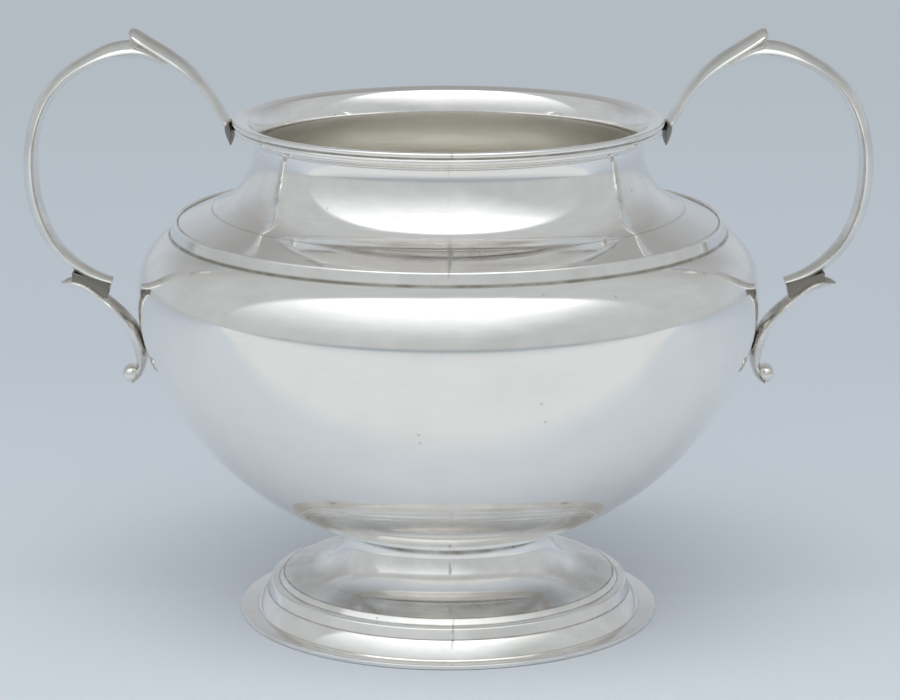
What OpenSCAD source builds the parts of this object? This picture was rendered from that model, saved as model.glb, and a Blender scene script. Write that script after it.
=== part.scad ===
// Plain silver sugar bowl with two scroll handles, free standing on a stepped foot.
// Millimetres, +Z up, origin on the axis at the bottom of the foot, handles along X.
// Heights build up from the table: foot, bowl, band, neck, rim. Handles hang between
// the widest point of the bowl and the rim.

/* [Body] */
// widest radius of the bowl
bowl_r = 60; // [56:0.5:64]
// sheet thickness of the bowl, neck and foot
wall = 0.7; // [0.6:0.05:0.8]
// radius of the arc above the widest point
upper_arc_r = 12.9; // [12:0.1:14]
// how far the upper arc rises, degrees above level
upper_arc_a = 60.8; // [56:0.2:66]
// radius of the first arc below the widest point
flank_arc_r = 36.8; // [34:0.2:40]
// turn of that first arc, degrees
flank_arc_a = 24.2; // [22:0.2:27]
// radius of the second, flatter arc towards the foot
belly_arc_r = 59; // [55:0.5:62]
// angle where the belly passes into the shallow bottom, degrees
belly_arc_a = 76; // [70:0.5:80]

/* [Shoulder band] */
// rise of the band above the bowl's edge
band_h = 2.5; // [2.2:0.1:2.8]
// how far the band's face leans inwards
band_lean = 0.5; // [0.3:0.1:0.6]
// rounding of the band's upper edge
band_round = 0.5; // [0.4:0.05:0.6]
// width of the band from its foot to the joint of the neck
band_w = 1.49; // [1.3:0.01:1.7]
// depth of that joint below the top of the band
skirt_sunk = 0.39; // [0.3:0.01:0.45]

/* [Neck] */
// how far the neck comes in from the bowl's edge
neck_in = 16.24; // [15:0.1:17.5]
// radius of the sweep from the shoulder up to the throat
neck_arc_r = 13; // [12:0.1:14]
// slope of the skirt on the shoulder, degrees
skirt_slope = 22; // [20:0.5:24]
// rise from the throat, where the flare of the mouth begins, to the wire
neck_rise = 1.3; // [1.2:0.05:1.4]

/* [Rim] */
// how far the lip stands out from the neck
lip_out = 4.15; // [3.9:0.05:4.4]
// height of the rim from the joint under the wire
rim_h = 3.7; // [3.5:0.05:3.9]
// radius of the bead at the lip
lip_bead_r = 0.55; // [0.5:0.05:0.6]
// width of the flat on top of the lip
lip_flat = 0.35; // [0.3:0.05:0.4]
// width of the lip from its outside to the edge of the flare
lip_w = 2.9; // [2.7:0.05:3.1]
// how far that edge lies below the top
lip_drop = 0.55; // [0.5:0.05:0.6]
// height of the moulded wire under the lip
wire_h = 2.6; // [2.4:0.05:2.8]
// radius of the rounded band on the wire
wire_band_r = 0.75; // [0.7:0.05:0.8]
// how far that band stands back from the lip
wire_set = 0.25; // [0.2:0.05:0.3]
// how far the wire's small foot stands out from the neck
wire_foot = 0.95; // [0.85:0.05:1.05]
// radius of the bead on that foot
wire_bead_r = 0.42; // [0.38:0.01:0.46]
// radius of the flare inside the mouth
flare_arc_r = 6.5; // [6:0.1:7]

/* [Foot] */
// radius of the foot on the table
foot_r = 40.8; // [38:0.1:43]
// thickness of the flat edge wire
edge_h = 0.8; // [0.7:0.05:0.9]
// width of the edge wire
edge_w = 4.4; // [4.2:0.1:4.6]
// how far the sloping apron stands back from the edge wire
apron_set = 3.35; // [3.2:0.05:3.5]
// height of the apron
apron_h = 3.2; // [3:0.1:3.4]
// fall of the apron, degrees
apron_slope = 59; // [58:0.5:60]
// radius of the apron's swell
apron_arc_r = 11; // [10:0.5:12]
// rise of the step above the apron
step_h = 2.15; // [2:0.05:2.3]
// how far the step leans inwards
step_lean = 0.7; // [0.6:0.05:0.8]
// radius of the step's rounded edge
step_round = 0.5; // [0.4:0.05:0.6]
// width of the bevel round the spool's flange
bevel_w = 0.75; // [0.7:0.05:0.8]
// height of that bevel
bevel_h = 1.1; // [1:0.05:1.2]
// how far that bevel stands back from the step
bevel_set = 1.65; // [1.55:0.05:1.75]
// radius of the stem where it is upright
stem_r = 20; // [18:0.1:22]
// height of that upright part under the bowl
stem_rise = 0.33; // [0.25:0.01:0.5]
// radius of the flare of the stem
stem_arc_r = 8.4; // [7.6:0.1:9.2]
// slope of the flange beyond the flare, degrees
flange_slope = 8; // [7:0.5:9]

/* [Handles] */
// how far the loop stands out past the widest point of the bowl
handle_reach = 21.35; // [19:0.05:23.5]
// width of the loop across the handle at its top
loop_w = 7.6; // [6.5:0.1:8.5]
// greatest thickness of the loop
loop_t = 3.4; // [3.1:0.1:3.7]
// width of the arm across the handle
arm_w = 8; // [7:0.1:9]
// greatest thickness of the arm
arm_t = 2.75; // [2.5:0.05:3]
// width of the lower bracket across the handle
bracket_w = 6; // [5:0.1:7]
// greatest thickness of the bracket
bracket_t = 2.9; // [2.7:0.1:3.2]
// width of the tail leaf below the rim
tail_w = 5.6; // [4.6:0.1:6.5]
// greatest thickness of the tail leaf
tail_t = 1.8; // [1.6:0.1:2]
// share of the thickness on the outer side of the edge line
keel = 0.62; // [0.5:0.02:0.7]
// width of the saddle between loop and bracket
saddle_w = 4; // [3:0.1:4.4]
// radius of the rolled end of the bracket
roll_r = 1.55; // [1.4:0.05:1.7]
// length of the rolled end
roll_l = 5; // [4.5:0.1:6]
// rise of the domed faces of the rolled end
roll_dome = 0.7; // [0.5:0.1:0.9]
// solder gap between a handle piece and the body
seat_gap = 0.02; // [0.01:0.01:0.05]

/* [Hidden] */
$fn = 180;
// reach of a cutting shape, well past any profile
far = 2 * bowl_r;
// degrees in a full turn
full = 360;
// unit direction at an angle
function ray(a) = [cos(a), sin(a)];

// foot, from the table up
apron_out = [foot_r - apron_set, edge_h];
apron_in = apron_out + apron_h * [-1 / tan(apron_slope), 1];
apron_half = apron_h / sin(apron_slope) / 2;
apron_away = sqrt(apron_arc_r * apron_arc_r - apron_half * apron_half);
c_apron = (apron_out + apron_in) / 2 - apron_away * ray(90 - apron_slope);
step_r = apron_in[0] - step_lean;
step_top = apron_in[1] + step_h;
step_a = atan(step_lean / step_h);
step_fall = step_h - step_round;
c_step = [apron_in[0] - (step_round + step_fall * sin(step_a)) / cos(step_a), step_top - step_round];
bevel_foot = [step_r - bevel_set, step_top];
flange_end = bevel_foot + [-bevel_w, bevel_h];
flange_a = 90 - flange_slope;
bevel_a = atan(bevel_w / bevel_h);
bevel_turn = (ray(flange_a) + ray(bevel_a)) / (1 + cos(flange_a - bevel_a));
flange_run = flange_end[0] - stem_r - stem_arc_r * (1 - cos(flange_a));
stem_z = flange_end[1] + flange_run * tan(flange_slope) + stem_arc_r * sin(flange_a);
c_stem = [stem_r + stem_arc_r, stem_z];

// bowl: tangent arcs placed from the widest point, then set down on the stem
flank_in = [bowl_r - flank_arc_r, 0];
belly_in = flank_in + (flank_arc_r - belly_arc_r) * ray(-flank_arc_a);
bottom_arc_r = belly_arc_r + belly_in[0] / cos(belly_arc_a);
bottom_in = belly_in + (belly_arc_r - bottom_arc_r) * ray(-belly_arc_a);
function under(c, r) = c[1] - sqrt(r * r - (stem_r - c[0]) * (stem_r - c[0]));
on_belly = bottom_arc_r < belly_arc_r || stem_r > belly_in[0] + belly_arc_r * cos(belly_arc_a);
seat = on_belly ? under(belly_in, belly_arc_r) : under(bottom_in, bottom_arc_r);
bowl_z = stem_z + stem_rise - seat;
lift = [0, bowl_z];
c_upper = [bowl_r - upper_arc_r, bowl_z];
c_flank = flank_in + lift;
c_belly = belly_in + lift;
c_bottom = bottom_in + lift;
// the bowl's edge: outside and inside corner of the sheet
edge_out = c_upper + upper_arc_r * ray(upper_arc_a);
edge_in = c_upper + (upper_arc_r - wall) * ray(upper_arc_a);

// band and neck: the skirt ends on the band, the sweep stands above it
band_top = edge_out[1] + band_h;
neck_r = edge_out[0] - neck_in;
skirt_a = 90 - skirt_slope;
skirt_dir = [sin(skirt_a), -cos(skirt_a)];
skirt_out = [edge_out[0] - band_w, band_top - skirt_sunk];
skirt_under = skirt_out - wall * ray(skirt_a);
sweep_r = neck_r + neck_arc_r;
skirt_len = (skirt_out[0] - sweep_r + neck_arc_r * cos(skirt_a)) / sin(skirt_a);
c_neck = skirt_out - skirt_len * skirt_dir + neck_arc_r * ray(skirt_a);
throat_in = [neck_r - wall, c_neck[1]];
wire_z = throat_in[1] + neck_rise;

// rim, from the joint under the wire up
rim_r = neck_r + lip_out;
rim_top = wire_z + rim_h;
rim_joint_z = wire_z + wire_h;
c_lip = [rim_r - lip_bead_r, rim_top - lip_bead_r];
c_wire = [rim_r - wire_set - wire_band_r, rim_joint_z - wire_band_r];
c_wire_foot = [neck_r + wire_foot, wire_z + wire_bead_r];
// angle at which the hollow of the wire runs into its band
wire_turn_a = 80;
// inner edge of the lip and the centre of the flare that runs up to it
lip_in = [rim_r - lip_w, rim_top - lip_drop];
flare_chord = lip_in - throat_in;
flare_half = norm(flare_chord) / 2;
flare_side = [flare_chord[1], -flare_chord[0]] / norm(flare_chord);
flare_back = sqrt(flare_arc_r * flare_arc_r - flare_half * flare_half);
c_flare = (lip_in + throat_in) / 2 + flare_back * flare_side;

// Handle lines. Each point gives its distance outside the line from the widest point to
// the rim, over the reach; its height, 0 at the widest point and 1 at the rim's top; its
// share of the greatest thickness; and its share of the width.
ARM = [
  [0.008, 0.9637, 0.691, 0.75], [0.192, 1.1299, 0.727, 0.9], [0.3607, 1.2583, 0.855, 1],
  [0.5574, 1.352, 1, 1], [0.7518, 1.432, 0.945, 1], [0.8571, 1.4789, 0.836, 0.85],
  [0.8993, 1.4924, 0.473, 0.45]];
LOOP = [
  [0.4356, 1.287, 0.176, 0.5], [0.5902, 1.3353, 0.676, 0.85], [0.7869, 1.3912, 0.971, 0.97],
  [1.0304, 1.3837, 1, 1], [1.2459, 1.3353, 0.809, 1], [1.4496, 1.2568, 0.75, 0.98],
  [1.644, 1.1239, 0.765, 0.96], [1.709, 0.9245, 0.765, 0.94], [1.5483, 0.7009, 0.824, 0.92],
  [1.3027, 0.4713, 0.824, 0.88], [0.965, 0.2568, 0.75, 0.82], [0.5638, 0.0982, 0.676, 0.74],
  [0.2526, 0.0317, 0.515, 0.62]];
BRACKET = [
  [0.7097, 0.0242, 0.138, 0.25], [0.6213, 0.0302, 0.655, 0.7], [0.4824, 0.0106, 0.759, 0.9],
  [0.3185, -0.0619, 0.793, 1], [0.1288, -0.1752, 0.845, 1], [0.0351, -0.2749, 1, 0.98],
  [-0.0187, -0.3746, 0.931, 0.94], [-0.0187, -0.4653, 0.655, 0.88],
  [0.0047, -0.5227, 0.466, 0.84], [0.0609, -0.5634, 0.31, 0.8]];
TAIL = [
  [0.0143, 0.9789, 0.833, 0.9], [-0.0298, 0.9366, 1, 1], [-0.0815, 0.8882, 0.889, 0.72],
  [-0.1265, 0.8369, 0.139, 0.12]];
// side view of the saddle that carries the loop's lower end on the bracket
SADDLE = [
  [0.6702, 0.0967], [0.6072, 0.0302], [0.281, -0.0725], [0.2576, -0.0332], [0.28, 0.0363]];
// centre of the rolled end
ROLL = [0.074, -0.5151];
// the arms of the bracket are rounded alike on both sides of their edge line
even = 0.5;
// steps between two points of a line, and points round a section
line_steps = 4;
ring_steps = 16;
// exponent of the section: 1 gives an oval, larger gives flatter faces and a keener edge
section_e = 1.4;
silver = [0.82, 0.83, 0.84];

// everything to the right of a direction from a point
module right_of(c, a) {
  translate(c) rotate(a) translate([-far, -2 * far]) square(2 * far);
}

// the room inside a surface set in by t from the bowl's outside: each larger circle is
// cut back to its own side of the tangent point, the smaller one inside it runs on
module bowl_room(t) {
  translate(c_upper) circle(r = upper_arc_r - t);
  intersection() {
    translate(c_flank) circle(r = flank_arc_r - t);
    square([far, bowl_z]);
  }
  intersection() {
    translate(c_belly) circle(r = belly_arc_r - t);
    right_of(c_belly, -flank_arc_a);
  }
  intersection() {
    translate(c_bottom) circle(r = bottom_arc_r - t);
    right_of(c_bottom, -belly_arc_a);
  }
}

// the lower shell of the body, open at the top
module bowl() {
  color(silver)
  rotate_extrude()
  intersection() {
    square([far, far]);
    difference() {
      bowl_room(0);
      bowl_room(wall);
      polygon([c_upper, c_upper + far * ray(upper_arc_a), [0, far], [0, bowl_z]]);
    }
  }
}

// the stepped band soldered on the bowl's edge
module shoulder_band() {
  corner = [edge_out[0] - band_lean - band_round, band_top - band_round];
  color(silver)
  rotate_extrude() {
    polygon([
      edge_out, corner + [band_round, 0], corner + [0, band_round], skirt_out, skirt_under, edge_in]);
    translate(corner) circle(r = band_round);
  }
}

// the air outside the neck sheet, grown by t: skirt and sweep
module neck_air(t) {
  translate(c_neck) circle(r = neck_arc_r + t);
  polygon([
    c_neck, c_neck - (neck_arc_r + t) * ray(skirt_a),
    skirt_out - t * ray(skirt_a) + band_h * skirt_dir, [far, c_neck[1]]]);
}

// the spun neck: skirt, sweep and flared mouth in one sheet
module neck() {
  color(silver)
  rotate_extrude() {
    difference() {
      intersection() {
        neck_air(wall);
        polygon([
          [0, throat_in[1]], [0, 0], [skirt_under[0], 0], skirt_under, skirt_out,
          skirt_out + 2 * band_h * ray(skirt_a), [skirt_out[0], throat_in[1]]]);
      }
      neck_air(0);
    }
    difference() {
      intersection() {
        translate(c_flare) circle(r = flare_arc_r);
        translate([0, throat_in[1]]) square([c_flare[0], rim_joint_z - throat_in[1]]);
      }
      translate(c_flare) circle(r = flare_arc_r - wall);
    }
  }
}

// the bead that closes the lip
module rim_lip() {
  color(silver)
  rotate_extrude()
  difference() {
    union() {
      intersection() {
        translate(c_flare) circle(r = flare_arc_r);
        polygon([
          throat_in, [c_lip[0], throat_in[1]], [c_lip[0], rim_top],
          [c_lip[0] - lip_flat, rim_top], lip_in, [throat_in[0], lip_in[1]]]);
      }
      translate(c_lip) circle(r = lip_bead_r);
    }
    square([far, rim_joint_z]);
  }
}

// the outline of the moulded wire, taken back to the neck
module wire_outline() {
  polygon([
    [neck_r, wire_z], [c_wire_foot[0], wire_z], c_wire_foot + [wire_bead_r, 0],
    c_wire - wire_band_r * ray(wire_turn_a), c_wire, [c_lip[0], rim_joint_z],
    [neck_r, rim_joint_z]]);
  translate(c_wire_foot) circle(r = wire_bead_r);
  translate(c_wire) circle(r = wire_band_r);
}

// the moulded wire under the lip
module rim_wire() {
  color(silver)
  rotate_extrude()
  intersection() {
    wire_outline();
    translate(c_flare) circle(r = flare_arc_r - wall - seat_gap);
    translate([0, wire_z]) square([rim_r, wire_h]);
  }
}

// the air outside the stem, over its flange and its bevel, grown by t
module stem_air(t) {
  translate([stem_r - t, stem_z]) square([foot_r, stem_rise + 2 * wall]);
  translate(c_stem) circle(r = stem_arc_r + t);
  polygon([
    c_stem, c_stem - (stem_arc_r + t) * ray(flange_a), flange_end - t * bevel_turn,
    bevel_foot - [t / cos(bevel_a), 0], [foot_r, step_top], [foot_r, stem_z]]);
}

// the spool shaped stem with its flange and bevelled rim
module foot_spool() {
  color(silver)
  rotate_extrude()
  difference() {
    intersection() {
      stem_air(wall);
      translate([0, step_top]) square([foot_r, stem_z + stem_rise + wall - step_top]);
    }
    stem_air(0);
    bowl_room(0);
  }
}

// the ring of the foot: a sloping apron below, a step with a rounded edge above
module foot_ring() {
  color(silver)
  rotate_extrude() {
    difference() {
      intersection() {
        translate(c_apron) circle(r = apron_arc_r);
        translate([apron_in[0] - 2 * wall, edge_h])
          square([apron_out[0] - apron_in[0] + 2 * wall, apron_h]);
      }
      translate(c_apron) circle(r = apron_arc_r - wall);
    }
    intersection() {
      translate(c_step) circle(r = step_round);
      translate(c_step) square(2 * step_round);
    }
    polygon([
      apron_in, c_step + step_round * ray(step_a), c_step, [c_step[0], step_top],
      [flange_end[0], step_top], [flange_end[0], step_top - wall], [step_r - wall, step_top - wall],
      [apron_in[0] - wall, apron_in[1]], apron_in - [0, wall]]);
  }
}

// the flat wire the bowl stands on
module foot_edge_wire() {
  corner = edge_h / 4;
  inner_r = foot_r - edge_w;
  color(silver)
  rotate_extrude() {
    translate([inner_r, 0]) square([edge_w - corner, edge_h]);
    translate([inner_r, corner]) square([edge_w, edge_h - 2 * corner]);
    translate([foot_r - corner, corner]) circle(r = corner);
    translate([foot_r - corner, edge_h - corner]) circle(r = corner);
  }
}

// a point of a handle in millimetres
function place(p) = [
  bowl_r + (rim_r - bowl_r) * min(max(p[1], 0), 1) + handle_reach * p[0],
  bowl_z + (rim_top - bowl_z) * p[1]];
function line(points, t) = [for (p = points) concat(place(p), [p[2] * t, p[3]])];
// spline through the points of a handle line
function knot(p, i) =
  i < 0 ? 2 * p[0] - p[1] :
  i >= len(p) ? 2 * p[len(p) - 1] - p[len(p) - 2] : p[i];
function blend(a, b, c, d, u) =
  (2 * b + (c - a) * u + (2 * a - 5 * b + 4 * c - d) * u * u
  + (3 * b - a - 3 * c + d) * u * u * u) / 2;
function along(p, s) =
  let (i = min(floor(s), len(p) - 2))
  blend(knot(p, i - 1), knot(p, i), knot(p, i + 1), knot(p, i + 2), s - i);
function heading(p, s) =
  let (h = 0.1 / line_steps, top = len(p) - 1)
  let (v = along(p, min(s + h, top)) - along(p, max(s - h, 0)))
  [v[0], v[1]] / norm([v[0], v[1]]);
function shaped(x) = sign(x) * pow(abs(x), section_e);
function section_point(p, s, w, k, a) =
  let (q = along(p, s), t = heading(p, s), up = sin(a), side = cos(a))
  let (n = shaped(up) * q[2] * (up > 0 ? k : 1 - k) + q[2] * (even - k))
  [q[0] - t[1] * n, shaped(side) * w * q[3] / 2, q[1] + t[0] * n];

// a swept handle piece with a keeled section
module swept(p, w, k) {
  last = (len(p) - 1) * line_steps;
  points = [
    for (i = [0:last], j = [0:ring_steps - 1])
      section_point(p, i / line_steps, w, k, full * j / ring_steps)];
  sides = [
    for (i = [0:last - 1], j = [0:ring_steps - 1])
      let (b = (j + 1) % ring_steps, r = i * ring_steps, q = r + ring_steps)
      for (f = [[r + j, q + b, r + b], [r + j, q + j, q + b]]) f];
  start = [for (j = [0:ring_steps - 1]) j];
  end = [for (j = [ring_steps - 1:-1:0]) last * ring_steps + j];
  polyhedron(points, concat(sides, [start, end]), convexity = 6);
}

module arm_bar() swept(line(ARM, arm_t), arm_w, keel);
module loop_bar() swept(line(LOOP, loop_t), loop_w, keel);

// the body's outside under the bracket, with the solder gap
module bowl_seat() {
  rotate_extrude()
  intersection() {
    translate(c_flank) circle(r = flank_arc_r + seat_gap);
    translate([0, bowl_z - flank_arc_r]) square([far, 2 * flank_arc_r]);
  }
}

// the rim's outside behind the arm and the tail, with the solder gap
module rim_seat() {
  rotate_extrude() {
    translate(c_lip) circle(r = lip_bead_r + seat_gap);
    translate(c_wire) circle(r = wire_band_r + seat_gap);
    translate([neck_r, wire_z]) square([c_lip[0] + seat_gap - neck_r, wire_h]);
  }
}

module arm() {
  difference() {
    arm_bar();
    rim_seat();
  }
}

module loop() {
  difference() {
    loop_bar();
    arm_bar();
  }
}

module tail() {
  difference() {
    swept(line(TAIL, tail_t), tail_w, keel);
    arm_bar();
    rim_seat();
  }
}

// the rolled end: a short drum with domed faces
module roll() {
  dome_r = (roll_r * roll_r + roll_dome * roll_dome) / (2 * roll_dome);
  centre = place(ROLL);
  translate([centre[0], 0, centre[1]])
  rotate([90, 0, 0])
  rotate_extrude()
  intersection() {
    translate([0, -roll_l / 2]) square([roll_r, roll_l]);
    union() {
      translate([0, roll_l / 2 - dome_r]) circle(r = dome_r);
      translate([0, dome_r - roll_l / 2]) circle(r = dome_r);
    }
  }
}

// the raised saddle on the bracket, cut to the loop's underside
module saddle() {
  rotate([90, 0, 0])
  linear_extrude(saddle_w, center = true)
  polygon([for (p = SADDLE) place(p)]);
}

module bracket() {
  difference() {
    union() {
      swept(line(BRACKET, bracket_t), bracket_w, even);
      saddle();
    }
    loop_bar();
    bowl_seat();
    roll();
  }
}

module arm_right() color(silver) arm();
module arm_left() color(silver) mirror([1, 0, 0]) arm();
module loop_right() color(silver) loop();
module loop_left() color(silver) mirror([1, 0, 0]) loop();
module tail_right() color(silver) tail();
module tail_left() color(silver) mirror([1, 0, 0]) tail();
module bracket_right() color(silver) bracket();
module bracket_left() color(silver) mirror([1, 0, 0]) bracket();
module roll_right() color(silver) roll();
module roll_left() color(silver) mirror([1, 0, 0]) roll();

bowl();
shoulder_band();
neck();
rim_lip();
rim_wire();
foot_spool();
foot_ring();
foot_edge_wire();
arm_right();
arm_left();
loop_right();
loop_left();
tail_right();
tail_left();
bracket_right();
bracket_left();
roll_right();
roll_left();
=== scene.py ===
import math

import bmesh
import bpy
from mathutils import Matrix, Vector


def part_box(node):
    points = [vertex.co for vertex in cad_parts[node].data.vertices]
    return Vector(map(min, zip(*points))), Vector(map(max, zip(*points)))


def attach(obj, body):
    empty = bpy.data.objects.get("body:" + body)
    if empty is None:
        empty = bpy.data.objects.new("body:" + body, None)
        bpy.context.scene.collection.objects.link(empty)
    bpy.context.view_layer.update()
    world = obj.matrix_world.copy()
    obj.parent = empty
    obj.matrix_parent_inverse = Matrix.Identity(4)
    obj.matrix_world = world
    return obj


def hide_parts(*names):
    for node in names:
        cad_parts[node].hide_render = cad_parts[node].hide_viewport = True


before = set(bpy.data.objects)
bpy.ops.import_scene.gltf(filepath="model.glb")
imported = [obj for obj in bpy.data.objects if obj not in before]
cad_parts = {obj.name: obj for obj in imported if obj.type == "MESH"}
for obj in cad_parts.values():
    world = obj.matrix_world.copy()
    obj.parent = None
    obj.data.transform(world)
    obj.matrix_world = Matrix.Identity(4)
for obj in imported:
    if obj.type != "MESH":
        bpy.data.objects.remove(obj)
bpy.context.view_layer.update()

scene = bpy.context.scene
MM = 0.001


# ---------------------------------------------------------------- sizes, millimetres and degrees
def reach(node):
    """Lowest and highest corner of a solid, in millimetres."""
    low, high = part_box(node)
    return low / MM, high / MM


def ray(degrees):
    """Unit vector in the half section, turned from the outward direction."""
    angle = math.radians(degrees)
    return Vector((math.cos(angle), math.sin(angle)))


def angle_at(centre, point):
    """Direction of a point seen from a centre."""
    away = Vector(point) - centre
    return math.degrees(math.atan2(away.y, away.x))


def height_angle(centre, radius, z):
    """Direction of the point on the left of a circle at a height."""
    return 180 - math.degrees(math.asin((z - centre.y) / radius))


WALL = 0.7

bowl_corner = reach("bowl")[1]
rim_corner = reach("rim_lip")[1]
edge_corner = reach("foot_edge_wire")[1]
ring_corner = reach("foot_ring")[1]
BOWL_R = bowl_corner.x
BAND_TOP = reach("shoulder_band")[1].z
RIM_R = rim_corner.x
RIM_TOP = rim_corner.z
JOINT_Z = reach("neck")[1].z
WIRE_Z = reach("rim_wire")[0].z
FOOT_R = edge_corner.x
EDGE_H = edge_corner.z
RING_R = ring_corner.x
STEP_TOP = ring_corner.z
BEVEL_R = reach("foot_spool")[1].x

# bowl: each arc has a radius and a direction at which it ends
UPPER_R, UPPER_A = 12.9, 60.8
FLANK_R, FLANK_A = 36.8, 24.2
BELLY_R, BELLY_A = 59.0, 76.0

# band on the bowl's edge and the skirt that falls on it
BAND_ROUND, BAND_LEAN, BAND_W = 0.5, 0.5, 1.49
SKIRT_SUNK, SKIRT_A = 0.39, 68.0

# neck: one hollow sweep, then a flare
NECK_IN, NECK_ARC, FLARE_R = 16.24, 13.0, 6.5

# lip and moulded wire
LIP_W, LIP_FALL, LIP_FLAT, LIP_BEAD, LIP_ROUND = 2.9, 0.55, 0.35, 0.55, 0.12
WIRE_SET, WIRE_BAND, WIRE_START, WIRE_TURN, WIRE_ROUND = 0.25, 0.75, -100, 133, 0.08
WIRE_FOOT_OUT, WIRE_FOOT_R = 0.95, 0.42

# foot: flat edge, swelling apron, step, bevel and stem
EDGE_W, EDGE_ROUND = 4.4, 0.2
APRON_H, APRON_SLOPE, APRON_ARC = 3.2, 59.0, 11.0
STEP_LEAN, STEP_ROUND = 0.7, 0.5
BEVEL_W, BEVEL_H = 0.75, 1.1
STEM_R, STEM_ARC, FLANGE_SLOPE = 20.0, 8.4, 8.0


# ---------------------------------------------------------------- how pieces are made
CREASE = 20


def finished(bm, name):
    """Closes, turns outwards and smooths a mesh, with true edges kept."""
    bmesh.ops.remove_doubles(bm, verts=bm.verts, dist=1e-7)
    bmesh.ops.recalc_face_normals(bm, faces=bm.faces)
    for face in bm.faces:
        face.smooth = True
    for edge in bm.edges:
        if len(edge.link_faces) == 2:
            edge.smooth = edge.calc_face_angle() < math.radians(CREASE)
    mesh = bpy.data.meshes.new(name)
    bm.to_mesh(mesh)
    bm.free()
    piece = bpy.data.objects.new(name, mesh)
    scene.collection.objects.link(piece)
    return piece


class Profile:
    """Half section of a turned piece, drawn in the XZ plane with short moves."""

    def __init__(self, start):
        self.bm = bmesh.new()
        self.tip = self.bm.verts.new((start[0] * MM, 0, start[1] * MM))

    def line(self, *points):
        for point in points:
            made = bmesh.ops.extrude_vert_indiv(self.bm, verts=[self.tip])
            self.tip = made["verts"][0]
            self.tip.co = (point[0] * MM, 0, point[1] * MM)
        return self

    def arc(self, centre, turn, step):
        """Swings the tip about a centre, anticlockwise for a positive turn."""
        count = max(2, math.ceil(abs(turn) / step))
        made = bmesh.ops.spin(
            self.bm, geom=[self.tip], cent=(centre[0] * MM, 0, centre[1] * MM),
            axis=(0, -1, 0), angle=math.radians(turn), steps=count, use_duplicate=False)
        self.tip = next(v for v in made["geom_last"] if isinstance(v, bmesh.types.BMVert))
        return self

    def soften(self, radius, limit, segments):
        """Rounds the corners of the section that are sharper than the limit."""
        corners = []
        for vert in self.bm.verts:
            if len(vert.link_edges) == 2:
                a, b = [edge.other_vert(vert).co - vert.co for edge in vert.link_edges]
                if a.length and b.length and math.degrees(a.angle(-b)) > limit:
                    corners.append(vert)
        bmesh.ops.bevel(
            self.bm, geom=corners, offset=radius * MM, offset_type="OFFSET", segments=segments,
            profile=0.5, affect="VERTICES", material=-1)
        return self

    def turned(self, name, steps=256, closed=True):
        """Revolves the section, which is closed first unless it ends on the axis."""
        if closed:
            self.bm.edges.new([v for v in self.bm.verts if len(v.link_edges) == 1])
        bmesh.ops.spin(
            self.bm, geom=self.bm.verts[:] + self.bm.edges[:], cent=(0, 0, 0), axis=(0, 0, 1),
            angle=math.tau, steps=steps, use_merge=True, use_duplicate=False)
        return finished(self.bm, name)


# ---------------------------------------------------------------- bowl and band
BOWL_Z = bowl_corner.z - UPPER_R * math.sin(math.radians(UPPER_A))
upper_centre = Vector((BOWL_R - UPPER_R, BOWL_Z))
flank_centre = Vector((BOWL_R - FLANK_R, BOWL_Z))
belly_centre = flank_centre + (FLANK_R - BELLY_R) * ray(-FLANK_A)
BOTTOM_R = BELLY_R + belly_centre.x / math.cos(math.radians(BELLY_A))
bottom_centre = belly_centre + (BELLY_R - BOTTOM_R) * ray(-BELLY_A)
edge_out = upper_centre + UPPER_R * ray(UPPER_A)
edge_in = upper_centre + (UPPER_R - WALL) * ray(UPPER_A)
skirt_out = Vector((edge_out.x - BAND_W, BAND_TOP - SKIRT_SUNK))
skirt_under = skirt_out - WALL * ray(SKIRT_A)


def under_bowl(r):
    """Height of the bowl's outer face at a radius inside the belly's arc."""
    return belly_centre.y - math.sqrt(BELLY_R ** 2 - (r - belly_centre.x) ** 2)


def bowl_shell():
    shell = Profile((0, bottom_centre.y - BOTTOM_R))
    shell.arc(bottom_centre, 90 - BELLY_A, 1).arc(belly_centre, BELLY_A - FLANK_A, 1)
    shell.arc(flank_centre, FLANK_A, 1).arc(upper_centre, UPPER_A, 2)
    shell.line(edge_in).arc(upper_centre, -UPPER_A, 2).arc(flank_centre, -FLANK_A, 1)
    shell.arc(belly_centre, FLANK_A - BELLY_A, 1).arc(bottom_centre, BELLY_A - 90, 1)
    return shell.turned("bowl_shell", 288, closed=False)


def shoulder_band():
    corner = Vector((edge_out.x - BAND_LEAN - BAND_ROUND, BAND_TOP - BAND_ROUND))
    band = Profile(edge_out).line(corner + BAND_ROUND * ray(0)).arc(corner, 90, 15)
    return band.line(skirt_out, skirt_under, edge_in).turned("shoulder_band_ring")


# ---------------------------------------------------------------- neck and rim
NECK_R = edge_out.x - NECK_IN
skirt_run = skirt_out.x - NECK_R - NECK_ARC * (1 - ray(SKIRT_A).x)
skirt_foot = skirt_out - skirt_run * Vector((1, -1 / math.tan(math.radians(SKIRT_A))))
neck_centre = skirt_foot + NECK_ARC * ray(SKIRT_A)
throat_in = Vector((NECK_R - WALL, neck_centre.y))
lip_in = Vector((RIM_R - LIP_W, RIM_TOP - LIP_FALL))
chord = lip_in - throat_in
flare_rise = math.sqrt(FLARE_R ** 2 - chord.length_squared / 4)
flare_centre = (lip_in + throat_in) / 2 + flare_rise * Vector((chord.y, -chord.x)).normalized()
FLARE_OUT = FLARE_R - WALL
throat_a = height_angle(flare_centre, FLARE_OUT, throat_in.y)
joint_out_a = height_angle(flare_centre, FLARE_OUT, JOINT_Z)
joint_in_a = height_angle(flare_centre, FLARE_R, JOINT_Z)
lip_centre = Vector((RIM_R - LIP_BEAD, RIM_TOP - LIP_BEAD))
wire_centre = Vector((RIM_R - WIRE_SET - WIRE_BAND, JOINT_Z - WIRE_BAND))
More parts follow.
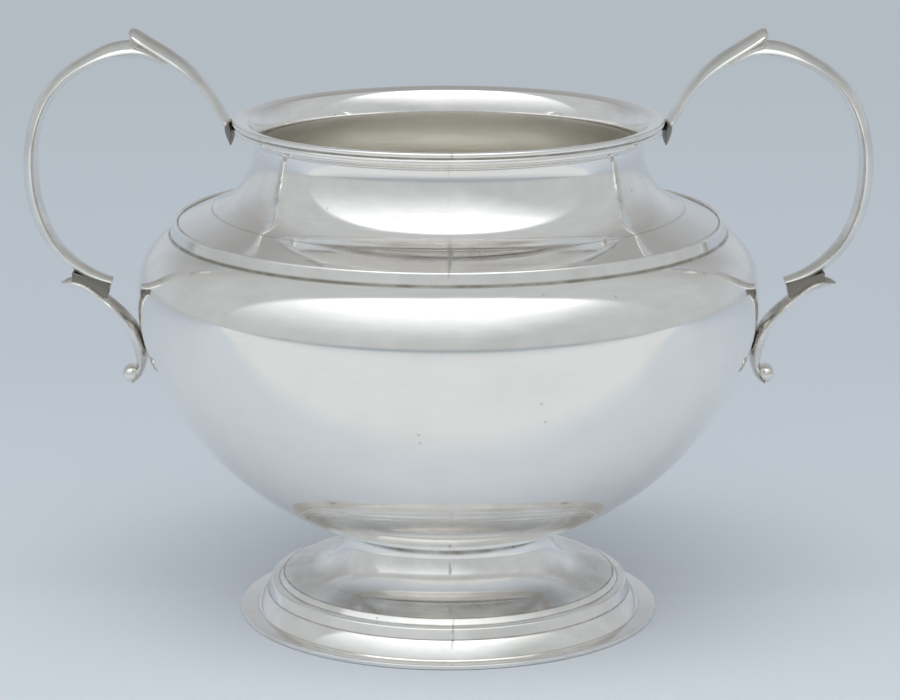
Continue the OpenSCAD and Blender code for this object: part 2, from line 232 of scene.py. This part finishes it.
wire_foot = Vector((NECK_R + WIRE_FOOT_OUT, WIRE_Z + WIRE_FOOT_R))


def neck_sheet():
    """Skirt, sweep and flare in one sheet, drawn up its outer face and down its inner one."""
    sheet = Profile(skirt_out).line(skirt_foot).arc(neck_centre, -SKIRT_A, 1)
    sheet.line(flare_centre + FLARE_OUT * ray(throat_a)).arc(flare_centre, joint_out_a - throat_a, 2)
    sheet.line(flare_centre + FLARE_R * ray(joint_in_a))
    sheet.arc(flare_centre, angle_at(flare_centre, throat_in) % 360 - joint_in_a, 2)
    return sheet.line(throat_in).arc(neck_centre, SKIRT_A, 1).line(skirt_under).turned("neck_sheet")


def lip_ring():
    lip = Profile((lip_centre.x, JOINT_Z)).arc(lip_centre, 180, 12)
    lip.line((lip_centre.x - LIP_FLAT, RIM_TOP), lip_in)
    lip.arc(flare_centre, joint_in_a - angle_at(flare_centre, lip_in) % 360, 2)
    return lip.soften(LIP_ROUND, 20, 2).turned("lip_ring")


def rim_moulding():
    wire = Profile((wire_foot.x, WIRE_Z)).arc(wire_foot, 90, 15)
    wire.line(wire_centre + WIRE_BAND * ray(WIRE_START)).arc(wire_centre, WIRE_TURN, 10)
    wire.line((lip_centre.x, JOINT_Z), flare_centre + FLARE_OUT * ray(joint_out_a))
    wire.arc(flare_centre, height_angle(flare_centre, FLARE_OUT, WIRE_Z) - joint_out_a, 2)
    return wire.soften(WIRE_ROUND, 30, 2).turned("rim_moulding")


# ---------------------------------------------------------------- foot
apron_out = Vector((RING_R, EDGE_H))
apron_in = apron_out + Vector((-APRON_H / math.tan(math.radians(APRON_SLOPE)), APRON_H))
apron_half = (apron_out - apron_in).length / 2
apron_rise = math.sqrt(APRON_ARC ** 2 - apron_half ** 2)
apron_centre = (apron_out + apron_in) / 2 - apron_rise * ray(90 - APRON_SLOPE)
STEP_R = apron_in.x - STEP_LEAN
step_a = math.degrees(math.atan2(STEP_LEAN, STEP_TOP - apron_in.y))
step_z = STEP_TOP - STEP_ROUND
step_run = (STEP_ROUND + (step_z - apron_in.y) * ray(step_a).y) / ray(step_a).x
step_centre = Vector((apron_in.x - step_run, step_z))
bevel_foot = Vector((BEVEL_R, STEP_TOP))
flange_end = bevel_foot + Vector((-BEVEL_W, BEVEL_H))
FLANGE_A = 90 - FLANGE_SLOPE
flange_run = flange_end.x - STEM_R - STEM_ARC * (1 - ray(FLANGE_A).x)
STEM_Z = flange_end.y + flange_run * math.tan(math.radians(FLANGE_SLOPE)) + STEM_ARC * ray(FLANGE_A).y
stem_centre = Vector((STEM_R + STEM_ARC, STEM_Z))


def foot_moulding():
    """Swelling apron under a step with a rounded edge, in one sheet."""
    in_a, out_a = angle_at(apron_centre, apron_in), angle_at(apron_centre, apron_out)
    under_a = math.degrees(math.asin((EDGE_H - apron_centre.y) / (APRON_ARC - WALL)))
    ring = Profile(apron_out).arc(apron_centre, in_a - out_a, 1)
    ring.line(step_centre + STEP_ROUND * ray(step_a)).arc(step_centre, 90 - step_a, 8)
    ring.line((flange_end.x, STEP_TOP), (flange_end.x, STEP_TOP - WALL), (STEP_R - WALL, STEP_TOP - WALL))
    ring.line((apron_in.x - WALL, apron_in.y), apron_centre + (APRON_ARC - WALL) * ray(in_a))
    return ring.arc(apron_centre, under_a - in_a, 1).turned("foot_moulding")


def foot_edge():
    inner = FOOT_R - EDGE_W
    edge = Profile((inner, 0)).line((FOOT_R, 0), (FOOT_R, EDGE_H), (inner, EDGE_H))
    return edge.soften(EDGE_ROUND, 30, 4).turned("foot_edge")


def foot_stem():
    """Stem, flange and bevel in one sheet, down the outer face and up the inner one."""
    bevel_wall = WALL * math.hypot(BEVEL_W, BEVEL_H) / BEVEL_H
    stem = Profile((STEM_R, under_bowl(STEM_R))).line((STEM_R, STEM_Z)).arc(stem_centre, FLANGE_A, 2)
    stem.line(flange_end, bevel_foot, bevel_foot - Vector((bevel_wall, 0)))
    stem.line(flange_end - WALL * ray(FLANGE_A), stem_centre - (STEM_ARC + WALL) * ray(FLANGE_A))
    inner = STEM_R - WALL
    return stem.arc(stem_centre, -FLANGE_A, 2).line((inner, under_bowl(inner))).turned("foot_stem")


# each turned piece under the name of the solid that it dresses
pieces = {
    "bowl": bowl_shell(), "shoulder_band": shoulder_band(), "neck": neck_sheet(), "rim_lip": lip_ring(),
    "rim_wire": rim_moulding(), "foot_ring": foot_moulding(), "foot_edge_wire": foot_edge(),
    "foot_spool": foot_stem()}

# ---------------------------------------------------------------- handles
# Each point has its way out as a share of REACH, counted from the line between the bowl's widest place and
# the rim, its height as a share of that line's rise, and the shares of full thickness and full width there.
ARM = [
    [0.008, 0.9637, 0.691, 0.75], [0.192, 1.1299, 0.727, 0.9], [0.3607, 1.2583, 0.855, 1],
    [0.5574, 1.352, 1, 1], [0.7518, 1.432, 0.945, 1], [0.8571, 1.4789, 0.836, 0.85],
    [0.8993, 1.4924, 0.473, 0.45]]
LOOP = [
    [0.4356, 1.287, 0.176, 0.5], [0.5902, 1.3353, 0.676, 0.85], [0.7869, 1.3912, 0.971, 0.97],
    [1.0304, 1.3837, 1, 1], [1.2459, 1.3353, 0.809, 1], [1.4496, 1.2568, 0.75, 0.98],
    [1.644, 1.1239, 0.765, 0.96], [1.709, 0.9245, 0.765, 0.94], [1.5483, 0.7009, 0.824, 0.92],
    [1.3027, 0.4713, 0.824, 0.88], [0.965, 0.2568, 0.75, 0.82], [0.5638, 0.0982, 0.676, 0.74],
    [0.2526, 0.0317, 0.515, 0.62]]
BRACKET = [
    [0.7097, 0.0242, 0.138, 0.25], [0.6213, 0.0302, 0.655, 0.7], [0.4824, 0.0106, 0.759, 0.9],
    [0.3185, -0.0619, 0.793, 1], [0.1288, -0.1752, 0.845, 1], [0.0351, -0.2749, 1, 0.98],
    [-0.0187, -0.3746, 0.931, 0.94], [-0.0187, -0.4653, 0.655, 0.88],
    [0.0047, -0.5227, 0.466, 0.84], [0.0609, -0.5634, 0.31, 0.8]]
TAIL = [
    [0.0143, 0.9789, 0.833, 0.9], [-0.0298, 0.9366, 1, 1], [-0.0815, 0.8882, 0.889, 0.72],
    [-0.1265, 0.8369, 0.139, 0.12]]
SADDLE = [
    [0.6702, 0.0967], [0.6072, 0.0302], [0.281, -0.0725], [0.2576, -0.0332], [0.28, 0.0363]]
ROLL = [0.074, -0.5151]
REACH = 21.35
# KEEL and EVEN are the shares of a strap's thickness that lie above the line where it is widest.
KEEL, EVEN = 0.62, 0.5
SECTION_POINTS, CROWN, STEPS = 48, 1.34, 12
SADDLE_W, SADDLE_ROUND = 4, 0.35
ROLL_R, ROLL_HALF = 1.6, 1.15


def place(point):
    """Point of a handle in millimetres."""
    share = min(max(point[1], 0), 1)
    return Vector((BOWL_R + (RIM_R - BOWL_R) * share + REACH * point[0],
                   BOWL_Z + (RIM_TOP - BOWL_Z) * point[1]))


def second_slopes(values):
    """Second differences of a natural cubic spline through evenly numbered values."""
    n = len(values)
    c, d = [0.0] * n, [0.0] * n
    for i in range(1, n - 1):
        m = 4 - c[i - 1]
        c[i] = 1 / m
        d[i] = (6 * (values[i + 1] - 2 * values[i] + values[i - 1]) - d[i - 1]) / m
    out = [0.0] * n
    for i in range(n - 2, 0, -1):
        out[i] = d[i] - c[i] * out[i + 1]
    return out


class Line:
    """Smooth line through a handle's points: place, thickness and width share."""

    def __init__(self, points, thickness):
        self.columns = list(zip(*([*place(p), p[2] * thickness, p[3]] for p in points)))
        self.bends = [second_slopes(column) for column in self.columns]
        self.top = len(points) - 1

    def at(self, s):
        i = min(int(s), self.top - 1)
        u = s - i
        out = []
        for y, m in zip(self.columns, self.bends):
            a, b = 1 - u, u
            out.append(a * y[i] + b * y[i + 1] + ((a ** 3 - a) * m[i] + (b ** 3 - b) * m[i + 1]) / 6)
        return out

    def station(self, s, width, keel):
        """Matrix that lays the unit section across the line at s."""
        near = 0.02
        x, z, thick, share = self.at(s)
        ahead, behind = self.at(min(s + near, self.top)), self.at(max(s - near, 0))
        along = Vector((ahead[0] - behind[0], 0, ahead[1] - behind[1])).normalized()
        up = Vector((-along.z, 0, along.x))
        across = Vector((0, width * share / 2, 0))
        m = Matrix((along, across, up * thick)).transposed().to_4x4()
        m.translation = Vector((x, 0, z)) + up * thick * (EVEN - keel)
        return Matrix.Scale(MM, 4) @ m


def section(bm, keel):
    """Unit section of a strap: crowned faces that meet in two soft edge lines."""
    made = bmesh.ops.create_circle(bm, cap_ends=True, radius=1, segments=SECTION_POINTS)
    for vert in made["verts"]:
        a = math.atan2(vert.co.y, vert.co.x)
        side, up = math.cos(a), math.sin(a)
        rise = math.copysign(abs(up) ** CROWN, up) * (keel if up > 0 else 1 - keel)
        vert.co = (0, math.copysign(abs(side) ** CROWN, side), rise)
    return made["verts"]


def strap(points, thickness, width, keel, blunt=0.0):
    """Sweeps the section along a smooth line through the points."""
    bm = bmesh.new()
    line = Line(points, thickness)
    now = line.station(0, width, keel)
    bmesh.ops.transform(bm, matrix=now, verts=section(bm, keel))
    rim = [edge for edge in bm.edges if len(edge.link_faces) == 1]
    for i in range(1, line.top * STEPS + 1):
        ahead = line.station(i / STEPS, width, keel)
        made = bmesh.ops.extrude_edge_only(bm, edges=rim)["geom"]
        moved = [v for v in made if isinstance(v, bmesh.types.BMVert)]
        rim = [e for e in made if isinstance(e, bmesh.types.BMEdge) and all(v in moved for v in e.verts)]
        bmesh.ops.transform(bm, matrix=ahead @ now.inverted(), verts=moved)
        now = ahead
    bmesh.ops.contextual_create(bm, geom=rim)
    if blunt:
        bmesh.ops.bevel(bm, geom=rim, offset=blunt * MM, offset_type="OFFSET", segments=4,
                        profile=0.5, affect="EDGES", material=-1, clamp_overlap=True)
    return bm


def drum():
    """Rolled end of the bracket: a short barrel with full round ends."""
    bm = bmesh.new()
    bmesh.ops.create_uvsphere(bm, u_segments=48, v_segments=32, radius=ROLL_R * MM)
    for vert in bm.verts:
        vert.co.z += math.copysign(ROLL_HALF * MM, vert.co.z) if abs(vert.co.z) > 0.01 * MM else 0
    centre = place(ROLL)
    move = Matrix.Translation((centre.x * MM, 0, centre.y * MM)) @ Matrix.Rotation(math.pi / 2, 4, "X")
    bmesh.ops.transform(bm, matrix=move, verts=bm.verts)
    return bm


def saddle():
    """Small block under the loop's end, where it sits on the bracket."""
    bm = bmesh.new()
    verts = [bm.verts.new((p.x * MM, -SADDLE_W / 2 * MM, p.y * MM)) for p in map(place, SADDLE)]
    made = bmesh.ops.extrude_face_region(bm, geom=[bm.faces.new(verts)])["geom"]
    far_verts = [v for v in made if isinstance(v, bmesh.types.BMVert)]
    bmesh.ops.translate(bm, vec=(0, SADDLE_W * MM, 0), verts=far_verts)
    bmesh.ops.bevel(bm, geom=bm.edges[:], offset=SADDLE_ROUND * MM, offset_type="OFFSET", segments=4,
                    profile=0.5, affect="EDGES", material=-1)
    return bm


def both_sides(bm, name):
    """The right-hand piece as drawn and its mirror image on the left."""
    twin = bm.copy()
    bmesh.ops.scale(twin, vec=(-1, 1, 1), verts=twin.verts)
    return finished(bm, name + "_right"), finished(twin, name + "_left")


handle_parts = {
    "arm": strap(ARM, thickness=2.75, width=8, keel=KEEL),
    "loop": strap(LOOP, thickness=3.4, width=7.6, keel=KEEL, blunt=0.7),
    "tail": strap(TAIL, thickness=1.8, width=5.6, keel=KEEL),
    "bracket": strap(BRACKET, thickness=2.9, width=6, keel=EVEN),
    "roll": drum(),
}
for part, bm in handle_parts.items():
    pieces[part + "_right"], pieces[part + "_left"] = both_sides(bm, "handle_" + part)
saddles = both_sides(saddle(), "handle_saddle")


# ---------------------------------------------------------------- materials
class Wire:
    """A socket that takes part in plain arithmetic by adding Math nodes."""

    def __init__(self, kit, socket):
        self.kit, self.socket = kit, socket

    def other(self, output):
        """Another output of the node that this one comes from."""
        return Wire(self.kit, self.socket.node.outputs[output])

    def _math(self, operation, *values, clamp=False):
        settings = {"operation": operation, "use_clamp": clamp}
        return self.kit.node("ShaderNodeMath", settings, dict(enumerate(values)))

    def __add__(self, other):
        return self._math("ADD", self, other)

    def __radd__(self, other):
        return self._math("ADD", other, self)

    def __sub__(self, other):
        return self._math("SUBTRACT", self, other)

    def __rsub__(self, other):
        return self._math("SUBTRACT", other, self)

    def __mul__(self, other):
        return self._math("MULTIPLY", self, other)

    def __rmul__(self, other):
        return self._math("MULTIPLY", other, self)

    def __truediv__(self, other):
        return self._math("DIVIDE", self, other)

    def __pow__(self, other):
        return self._math("POWER", self, other)

    def clamped(self):
        return self._math("ADD", self, 0.0, clamp=True)


class Kit:
    """Adds nodes to the tree of one material or world."""

    def __init__(self, owner):
        owner.use_nodes = True
        self.tree = owner.node_tree
        self.tree.nodes.clear()

    def node(self, kind, settings=None, inputs=None, output=0):
        made = self.tree.nodes.new(kind)
        for key, value in (settings or {}).items():
            if key == "stops":
                ramp = made.color_ramp
                while len(ramp.elements) < len(value):
                    ramp.elements.new(0.5)
                for element, (position, colour) in zip(ramp.elements, value):
                    element.position = position
                    element.color = colour
            else:
                setattr(made, key, value)
        for key, value in (inputs or {}).items():
            if isinstance(value, Wire):
                self.tree.links.new(value.socket, made.inputs[key])
            else:
                made.inputs[key].default_value = value
        return Wire(self, made.outputs[output]) if made.outputs else None

    def place(self, output="Object"):
        return self.node("ShaderNodeTexCoord", {}, {}, output)

    def map(self, value, low, high, out_low=0.0, out_high=1.0):
        """Soft step from one level to another."""
        return self.node("ShaderNodeMapRange", {"interpolation_type": "SMOOTHSTEP"}, {
            "Value": value, "From Min": low, "From Max": high, "To Min": out_low, "To Max": out_high})

    def noise(self, where, scale, detail):
        return self.node("ShaderNodeTexNoise", {}, {
            "Vector": where, "Scale": scale, "Detail": detail, "Roughness": 0.55})

    def blend(self, factor, first, second):
        return self.node("ShaderNodeMix", {"data_type": "RGBA"}, {
            "Factor": factor, 6: first if isinstance(first, Wire) else (*first, 1),
            7: second if isinstance(second, Wire) else (*second, 1)}, 2)

    def split(self, vector):
        first = self.node("ShaderNodeSeparateXYZ", {}, {"Vector": vector})
        return [first.other(axis) for axis in "XYZ"]

    def stretched(self, where, scale):
        return self.node("ShaderNodeVectorMath", {"operation": "MULTIPLY"}, {0: where, 1: scale})

    def dimmed(self, colour, level):
        return self.node("ShaderNodeVectorMath", {"operation": "SCALE"}, {0: colour, "Scale": level})


POLISHED = (0.93, 0.912, 0.895)
HANDLED = (0.9, 0.885, 0.86)
# Base of the inner silver: lighter and warmer than the outer one, which is painted light.
INNER_PAINTED_LIGHT = (1.0, 0.972, 0.905)
# Base of the painted shade silver: a dark tone for parts that sit in shade.
PAINTED_SHADE_DARK = (0.24, 0.225, 0.205)
# Dark colour that both the real stains and the painted shade blend towards.
TARNISH_AND_SHADE = (0.3, 0.275, 0.235)
SEAM_X = 0.5


def silver(name, base=POLISHED, rough=0.065, clouds=0.05, wave=0.00003, joints=(), seam=0.0,
           grain=(60, 60, 2400), shade=0.0, rim=0.0):
    """Polished silver: hairlines from polishing, faint clouds, specks, dark joints and a soldered seam.

    Each joint is a ring: its radius, its height, how far it reaches and its darkness. Shade is painted
    shade on faces that look up, and rim painted shade along the outline; both blend towards the same dark
    as the stains.
    """
    material = bpy.data.materials.new(name)
    kit = Kit(material)
    where = kit.place()
    x, y, z = (axis / MM for axis in kit.split(where))
    r = (x * x + y * y) ** 0.5
    cloud = kit.map(kit.noise(where, 75, 5), 0.42, 0.72)
    hair = kit.map(kit.noise(kit.stretched(where, grain), 1.0, 1), 0.6, 0.72)
    spots = kit.node("ShaderNodeTexVoronoi", {}, {"Vector": where, "Scale": 230.0})
    lot = kit.split(spots.other("Color"))[0]
    speck = kit.map(spots, 0.04, 0.1, 1.0, 0.0) * kit.map(lot, 0.72, 0.8)
    stain_and_shade = clouds * cloud + 0.02 * hair + 0.3 * speck
    ragged = 0.3 + 1.4 * kit.noise(where, 260, 3)
    for radius, height, width, dark in joints:
        away = ((r - radius) ** 2 + (z - height) ** 2) ** 0.5
        stain_and_shade = stain_and_shade + kit.map(away, width * 0.2, width, dark, 0.0) * ragged
    if seam:
        beside = kit.node("ShaderNodeMath", {"operation": "ABSOLUTE"}, {0: x - SEAM_X})
        broken = kit.map(kit.noise(kit.stretched(where, (330, 0, 170)), 1.0, 2), 0.5, 0.62)
        stain_and_shade = stain_and_shade + kit.map(beside, 0.15, 0.8, seam, 0.0) * broken * kit.map(y, -20.0, -10.0, 1.0, 0.0)
    # Painted shade: faces that look up are darkened, in patches.
    if shade:
        upward = kit.split(kit.node("ShaderNodeNewGeometry", {}, {}, "Normal"))[2]
        patchy = kit.map(kit.noise(where, 420, 4), 0.3, 0.62, 0.35, 1.0)
        stain_and_shade = stain_and_shade + kit.map(upward, 0.15, 0.5, 0.0, shade) * patchy
    # Painted shade along the outline, darker where the surface turns away from the view.
    if rim:
        facing = kit.node("ShaderNodeLayerWeight", {}, {"Blend": 0.5}, "Facing")
        stain_and_shade = stain_and_shade + kit.map(facing, 0.72, 0.97, 0.0, rim)
    stain_and_shade = stain_and_shade.clamped()
    swell = kit.noise(where, 55, 2) + 0.04 * kit.noise(where, 700, 2)
    bump = kit.node("ShaderNodeBump", {}, {"Strength": 1.0, "Distance": wave, "Height": swell})
    shader = kit.node("ShaderNodeBsdfPrincipled", {}, {
        "Base Color": kit.blend(stain_and_shade, base, TARNISH_AND_SHADE), "Metallic": 1.0,
        "Roughness": rough + 0.05 * cloud + 0.08 * hair + 0.3 * stain_and_shade, "Normal": bump})
    kit.node("ShaderNodeOutputMaterial", {}, {"Surface": shader})
    return material


stem_top = (STEM_R, under_bowl(STEM_R))
bowl_silver = silver("bowl_silver", joints=[(*edge_out, 0.6, 0.7), (*stem_top, 0.5, 0.8)])
band_silver = silver("band_silver", rough=0.09, clouds=0.2, seam=0.8, joints=[
    (*edge_out, 0.6, 0.8), (*skirt_out, 0.3, 0.8)])
neck_silver = silver("neck_silver", seam=0.5, joints=[
    (NECK_R + 0.7, WIRE_Z, 0.8, 0.5), (*skirt_out, 0.4, 0.7), (*skirt_foot, 0.35, 0.3)])
rim_silver = silver("rim_silver", seam=0.5, joints=[
    (lip_centre.x + 0.3, JOINT_Z, 0.4, 0.9), (wire_foot.x, WIRE_Z + 0.9, 0.3, 0.7),
    (wire_foot.x, WIRE_Z, 0.5, 0.5)])
# Painted shade: a broad dark patch over the flange and the stem's lower sweep, under the bowl.
flange_painted_shade = (29, 8.2, 5.5, 0.3)
foot_silver = silver("foot_silver", clouds=0.14, seam=0.9, joints=[
    (RING_R, EDGE_H, 0.3, 0.22), (apron_in.x, apron_in.y + 0.05, 0.25, 0.6), (*stem_top, 1.0, 0.75),
    (BEVEL_R, STEP_TOP, 0.25, 0.5), (flange_end.x - 0.1, flange_end.y, 0.3, 0.5), flange_painted_shade])
# Rougher silver for the inside, with painted light in its lighter, warmer base colour.
inner_painted_light_silver = silver("inner_painted_light_silver", base=INNER_PAINTED_LIGHT, rough=0.36, clouds=0.06, wave=0.00002)
# The handles and brackets carry painted shade on faces that look up and along their outlines; on the
# brackets it is a heavy mottled band.
handle_silver = silver("handle_silver", base=HANDLED, rough=0.1, clouds=0.22, wave=0.00005,
                       grain=(500, 500, 500), shade=0.16, rim=0.3)
bracket_silver = silver("bracket_silver", base=HANDLED, rough=0.1, clouds=0.3, wave=0.00008,
                        grain=(500, 500, 500), shade=0.6, rim=0.15)
# Painted shade: a dark silver for the tail and the saddle, which sit in shade and mirror dark surroundings.
painted_shade_silver = silver("painted_shade_silver", base=PAINTED_SHADE_DARK, rough=0.25, clouds=0.7, wave=0.0003,
                     grain=(700, 700, 700), shade=0.3)
finishes = {"bowl": bowl_silver, "shoulder_band": band_silver, "neck": neck_silver, "rim_lip": rim_silver,
            "rim_wire": rim_silver, "foot_spool": foot_silver, "foot_ring": foot_silver,
            "foot_edge_wire": foot_silver, "tail_right": painted_shade_silver, "tail_left": painted_shade_silver,
            "bracket_right": bracket_silver, "bracket_left": bracket_silver}
for node, piece in pieces.items():
    piece.data.materials.append(finishes.get(node, handle_silver))
    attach(piece, "root")
    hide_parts(node)
# The saddle gets the painted shade silver, standing in for the shade between the loop's end and the
# bracket.
for piece in saddles:
    piece.data.materials.append(painted_shade_silver)
    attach(piece, "root")

# the faces inside, up to the throat, get a rougher silver whose lighter, warmer colour is painted light,
# the light bounced inside the bowl
INNER_TOP = throat_in.y + 0.2
for node in ("bowl", "neck"):
    mesh = pieces[node].data
    mesh.materials.append(inner_painted_light_silver)
    for face in mesh.polygons:
        inward = face.normal.x * face.center.x + face.normal.y * face.center.y < 0
        if inward and face.center.z / MM < INNER_TOP:
            face.material_index = 1


# ---------------------------------------------------------------- studio, metres
# tones of the paper from the near edge to the far one, with painted light in them: brightest just in front
# of the object, darker towards the back and towards the near edge
PAPER_PAINTED_LIGHT = [
    (-1.2, (0.5, 0.53, 0.56)), (-0.9, (0.5, 0.53, 0.56)), (-0.6, (0.76, 0.785, 0.81)),
    (-0.25, (0.965, 0.965, 0.96)), (-0.085, (0.955, 0.96, 0.96)), (-0.062, (0.81, 0.85, 0.905)),
    (0.0, (0.785, 0.825, 0.885)), (0.08, (0.72, 0.76, 0.825)), (0.22, (0.65, 0.69, 0.76)),
    (0.7, (0.6, 0.632, 0.69))]
FLOOR_SIZE, FLOOR_BACK, FLOOR_DROP = 4, 0.5, 0.0001


def pale_paper():
    """Pale blue-grey paper, a little lighter in front of the object."""
    material = bpy.data.materials.new("pale_paper")
    kit = Kit(material)
    where = kit.place()
    y = kit.split(where)[1]
    near, far = PAPER_PAINTED_LIGHT[0][0], PAPER_PAINTED_LIGHT[-1][0]
    along = kit.node("ShaderNodeMapRange", {}, {"Value": y, "From Min": near, "From Max": far})
    stops = [((at - near) / (far - near), (*colour, 1)) for at, colour in PAPER_PAINTED_LIGHT]
    # The paper's blue-grey is its own colour; the rise and fall in brightness along it is painted light.
    tone = kit.node("ShaderNodeValToRGB", {"stops": stops}, {"Fac": along})
    fibre = 0.985 + 0.03 * kit.noise(where, 900, 3)
    shader = kit.node("ShaderNodeBsdfDiffuse", {}, {"Color": kit.dimmed(tone, fibre)})
    kit.node("ShaderNodeOutputMaterial", {}, {"Surface": shader})
    return material


def paper_floor():
    bm = bmesh.new()
    bmesh.ops.create_grid(bm, x_segments=1, y_segments=1, size=FLOOR_SIZE)
    bmesh.ops.translate(bm, vec=(0, FLOOR_BACK, -FLOOR_DROP), verts=bm.verts)
    floor = finished(bm, "floor")
    floor.data.materials.append(pale_paper())
    return floor


def soft_tent():
    """A white tent: grey walls, a broad soft light above the front, fading down to the table."""
    world = bpy.data.worlds.new("soft_tent")
    scene.world = world
    kit = Kit(world)
    way = kit.place("Generated")
    x, y, z = kit.split(way)
    up = kit.node("ShaderNodeMath", {"operation": "MAXIMUM"}, {0: z, 1: 0.02})
    front = kit.map(-1 * y / up, 0.04, 0.18)
    right = kit.map(x / up, 0.2, 1.5, 1.0, 0.1)
    back = kit.map(y, 0.3, 0.85)
    high = kit.map(z, 0.12, 0.6)
    fold = 0.9 + 0.2 * kit.noise(kit.stretched(way, (1, 1, 0.15)), 8, 1)
    glow = (0.015 + 1.06 * up ** 2.4 + 0.5 * kit.map(z, 0.74, 0.9)) * front * right
    level = ((0.53 - 0.19 * back * high) * kit.map(z, -0.02, 0.06, 0.93, 1.0) + glow) * fold
    tint = kit.blend(back, (1, 1.045, 1.05), kit.blend(high, (1, 1.07, 1.15), (1, 1.01, 1.0)))
    shine = kit.node("ShaderNodeBackground", {}, {"Color": kit.dimmed(tint, level), "Strength": 1.0})
    kit.node("ShaderNodeOutputWorld", {}, {"Surface": shine})


SENSOR, VIEW_ANGLE, LENS_SHIFT = 36, 15.617, 0.00178
CAMERA_BACK, CAMERA_UP, CAMERA_DIP = 0.62, 0.196, 13.124


def front_camera():
    lens = bpy.data.cameras.new("camera")
    lens.sensor_width = SENSOR
    lens.lens = SENSOR / 2 / math.tan(math.radians(VIEW_ANGLE / 2))
    lens.shift_x = LENS_SHIFT
    camera = bpy.data.objects.new("camera", lens)
    scene.collection.objects.link(camera)
    camera.location = (0, -CAMERA_BACK, CAMERA_UP)
    camera.rotation_euler = (math.radians(90 - CAMERA_DIP), 0, 0)
    scene.camera = camera


paper_floor()
soft_tent()
front_camera()

scene.view_settings.view_transform = "Standard"
